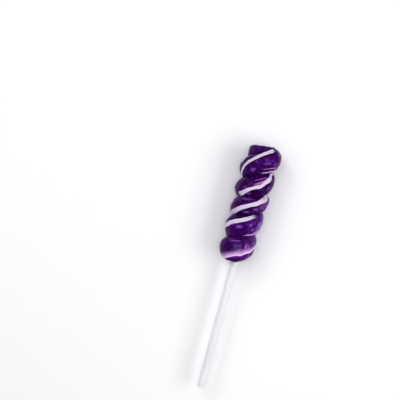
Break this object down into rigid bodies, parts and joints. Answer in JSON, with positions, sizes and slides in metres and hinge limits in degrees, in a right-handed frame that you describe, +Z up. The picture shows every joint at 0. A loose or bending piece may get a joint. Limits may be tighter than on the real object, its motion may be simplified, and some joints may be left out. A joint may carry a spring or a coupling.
{
  "type": "twisty lollipop",
  "caption": "Twisty lollipop lying on its back: a thick rope of purple hard candy with white stripes, wound in a coil round a straight white plastic tube stick.",
  "frame": {"origin": "under the middle of the whole, on the surface that it lies on", "axes": "+Y along the stick from its free end towards the candy, +Z up, out of the shown side"},
  "size_m": [0.0206, 0.1334, 0.0192],
  "materials": {
    "candy": "glossy hard candy, deep purple with white stripes",
    "stick": "satin white extruded plastic tube"
  },
  "bodies": {
    "root": {"candy": "candy", "stick": "stick"}
  },
  "joints": []
}
